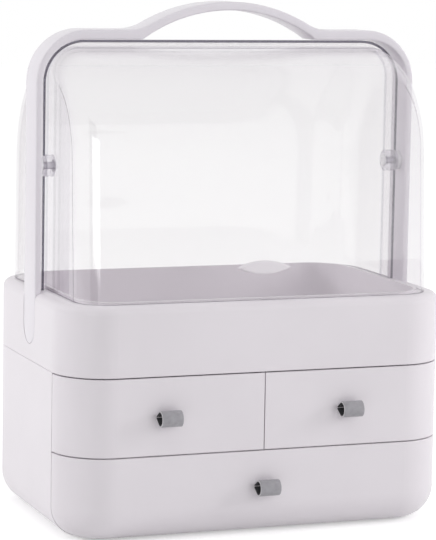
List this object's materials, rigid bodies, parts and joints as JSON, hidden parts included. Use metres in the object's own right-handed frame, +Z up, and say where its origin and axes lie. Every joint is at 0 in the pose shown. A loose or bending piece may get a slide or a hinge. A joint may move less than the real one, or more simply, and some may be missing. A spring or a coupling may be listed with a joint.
{
  "type": "dustproof makeup organizer",
  "caption": "Portable cosmetics organizer: drawer cabinet with strap pulls, open tray, arched carrying handle and clear covers, the front one swinging up inside the rear one.",
  "frame": {"origin": "on the table, under the middle of the body's width and depth", "axes": "+X to the right as seen from the front, +Y to the back, +Z up"},
  "size_m": [0.28, 0.1955, 0.3592],
  "materials": {
    "white_shell": "satin moulded white plastic",
    "drawer_plastic": "satin moulded white plastic",
    "white_pin": "smooth white plastic",
    "clear_cover": "clear polished plastic",
    "strap": "grey leatherette strap",
    "screw_steel": "plain steel"
  },
  "bodies": {
    "case": {"cabinet": "white_shell", "shelf": "white_shell", "divider": "white_shell", "tray": "white_shell", "handle": "white_shell", "rear_cover": "clear_cover", "hinge_pin_left": "white_pin", "hinge_pin_right": "white_pin", "handle_screws": "screw_steel"},
    "lift_cover": {"front_cover": "clear_cover", "lift_tab": "white_shell"},
    "left_drawer": {"left_drawer_box": "drawer_plastic", "left_drawer_front": "white_shell", "left_drawer_pull": "strap"},
    "right_drawer": {"right_drawer_box": "drawer_plastic", "right_drawer_front": "white_shell", "right_drawer_pull": "strap"},
    "lower_drawer": {"lower_drawer_box": "drawer_plastic", "lower_drawer_front": "white_shell", "lower_drawer_pull": "strap"}
  },
  "joints": [
    {"name": "front_cover_hinge", "type": "hinge", "parent": "case", "child": "lift_cover", "pos_m": [0, -0.004, 0.2464], "axis": [-1, 0, 0], "range_deg": [0, 100]},
    {"name": "left_drawer_slide", "type": "slide", "parent": "case", "child": "left_drawer", "axis": [0, -1, 0], "range_m": [0, 0.115]},
    {"name": "right_drawer_slide", "type": "slide", "parent": "case", "child": "right_drawer", "axis": [0, -1, 0], "range_m": [0, 0.115]},
    {"name": "lower_drawer_slide", "type": "slide", "parent": "case", "child": "lower_drawer", "axis": [0, -1, 0], "range_m": [0, 0.115]}
  ]
}
